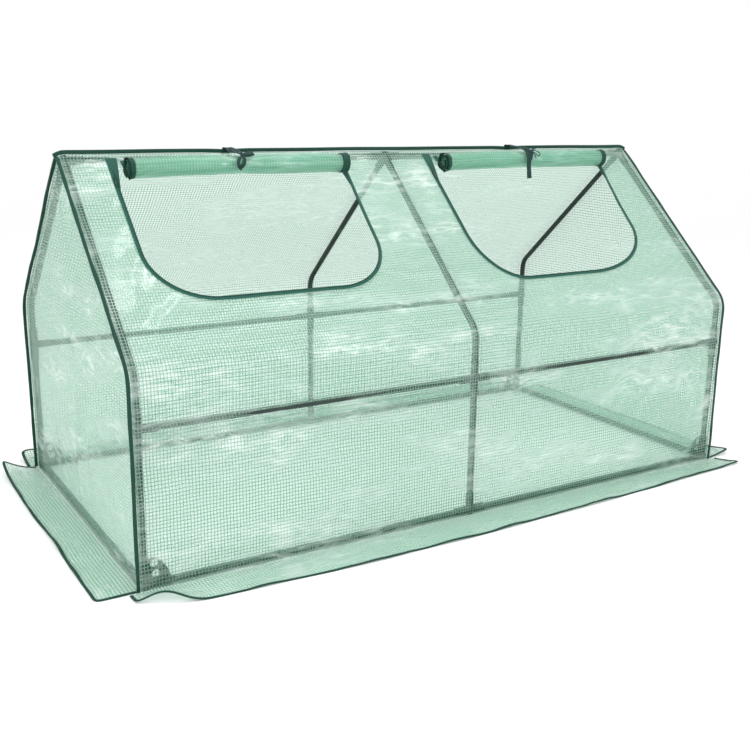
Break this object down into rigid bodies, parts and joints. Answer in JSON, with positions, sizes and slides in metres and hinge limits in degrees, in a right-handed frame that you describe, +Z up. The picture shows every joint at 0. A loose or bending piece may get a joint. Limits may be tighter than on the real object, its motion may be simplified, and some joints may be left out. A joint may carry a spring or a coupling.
{
  "type": "mini greenhouse",
  "caption": "Low ridge-roofed garden greenhouse: push-fit tube frame, reinforced film cover with ground skirts, and roll-up zipped doors on the front slope.",
  "frame": {"origin": "on the floor, under the middle of the greenhouse", "axes": "+X along the ridge, +Y to the back (the doors face -Y), +Z up"},
  "size_m": [2.007, 1.14, 0.9314],
  "materials": {
    "tube": "dark green powder coat, satin",
    "joint": "moulded dark green polypropylene",
    "film": "glossy clear mint polyethylene film over a woven green grid",
    "binding": "dark green woven polypropylene tape, folded and sewn",
    "zip": "dark green zip tape, coil and slider"
  },
  "bodies": {
    "frame": {"back_base_rail_left": "tube", "back_base_rail_right": "tube", "back_base_tee": "joint", "back_left_base_corner": "joint", "back_left_bent_tube": "tube", "back_left_lower_leg": "tube", "back_left_mid_joint": "joint", "back_mid_rail_left": "tube", "back_mid_rail_right": "tube", "back_middle_bent_tube": "tube", "back_middle_lower_leg": "tube", "back_middle_mid_joint": "joint", "back_panel": "film", "back_right_base_corner": "joint", "back_right_bent_tube": "tube", "back_right_lower_leg": "tube", "back_right_mid_joint": "joint", "front_base_rail_left": "tube", "front_base_rail_right": "tube", "front_base_tee": "joint", "front_left_base_corner": "joint", "front_left_bent_tube": "tube", "front_left_lower_leg": "tube", "front_left_mid_joint": "joint", "front_mid_rail_left": "tube", "front_mid_rail_right": "tube", "front_middle_bent_tube": "tube", "front_middle_lower_leg": "tube", "front_middle_mid_joint": "joint", "front_panel": "film", "front_right_base_corner": "joint", "front_right_bent_tube": "tube", "front_right_lower_leg": "tube", "front_right_mid_joint": "joint", "left_end_panel": "film", "left_seam_binding": "binding", "left_side_rail": "tube", "left_zip_tape": "zip", "ridge_binding": "binding", "ridge_left_joint": "joint", "ridge_middle_joint": "joint", "ridge_right_joint": "joint", "ridge_tube_left": "tube", "ridge_tube_right": "tube", "right_end_panel": "film", "right_seam_binding": "binding", "right_side_rail": "tube", "right_zip_tape": "zip"},
    "front_skirt": {"front_skirt": "film"},
    "right_skirt": {"right_skirt": "film"},
    "back_skirt": {"back_skirt": "film"},
    "left_skirt": {"left_skirt": "film"},
    "left_door_carriage": {"left_door_sheet": "film"},
    "left_door_roll": {"left_door_roll": "film"},
    "left_zip_slider": {"left_zip_slider": "zip"},
    "left_roll_tie": {"left_roll_tie": "binding"},
    "right_door_carriage": {"right_door_sheet": "film"},
    "right_door_roll": {"right_door_roll": "film"},
    "right_zip_slider": {"right_zip_slider": "zip"},
    "right_roll_tie": {"right_roll_tie": "binding"}
  },
  "joints": [
    {"name": "front_skirt_lift", "type": "hinge", "parent": "frame", "child": "front_skirt", "pos_m": [0, -0.46499, 0.00045], "axis": [-1, 0, 0], "range_deg": [0, 75]},
    {"name": "right_skirt_lift", "type": "hinge", "parent": "frame", "child": "right_skirt", "pos_m": [0.89854, 0, 0.00045], "axis": [0, -1, 0], "range_deg": [0, 75]},
    {"name": "back_skirt_lift", "type": "hinge", "parent": "frame", "child": "back_skirt", "pos_m": [0, 0.46499, 0.00045], "axis": [1, 0, 0], "range_deg": [0, 75]},
    {"name": "left_skirt_lift", "type": "hinge", "parent": "frame", "child": "left_skirt", "pos_m": [-0.89854, 0, 0.00045], "axis": [0, 1, 0], "range_deg": [0, 75]},
    {"name": "left_door_lower", "type": "slide", "parent": "frame", "child": "left_door_carriage", "axis": [0, -0.7376, -0.6753], "range_m": [0, 0.359]},
    {"name": "left_door_unroll", "type": "hinge", "parent": "left_door_carriage", "child": "left_door_roll", "pos_m": [-0.4745, -0.07295, 0.89402], "axis": [1, 0, 0], "range_deg": [0, 760]},
    {"name": "left_zip_pull", "type": "slide", "parent": "frame", "child": "left_zip_slider", "axis": [0, -0.7376, -0.6753], "range_m": [0, 0.215]},
    {"name": "left_tie_flip", "type": "hinge", "parent": "frame", "child": "left_roll_tie", "pos_m": [-0.4745, 0, 0.93129], "axis": [-1, 0, 0], "range_deg": [0, 170]},
    {"name": "right_door_lower", "type": "slide", "parent": "frame", "child": "right_door_carriage", "axis": [0, -0.7376, -0.6753], "range_m": [0, 0.359]},
    {"name": "right_door_unroll", "type": "hinge", "parent": "right_door_carriage", "child": "right_door_roll", "pos_m": [0.4305, -0.07295, 0.89402], "axis": [1, 0, 0], "range_deg": [0, 760]},
    {"name": "right_zip_pull", "type": "slide", "parent": "frame", "child": "right_zip_slider", "axis": [0, -0.7376, -0.6753], "range_m": [0, 0.215]},
    {"name": "right_tie_flip", "type": "hinge", "parent": "frame", "child": "right_roll_tie", "pos_m": [0.4305, 0, 0.93129], "axis": [-1, 0, 0], "range_deg": [0, 170]}
  ],
  "couplings": [
    {"joint": "left_door_unroll", "follows": "left_door_lower", "rad_per_m": 35.149},
    {"joint": "right_door_unroll", "follows": "right_door_lower", "rad_per_m": 35.149}
  ]
}
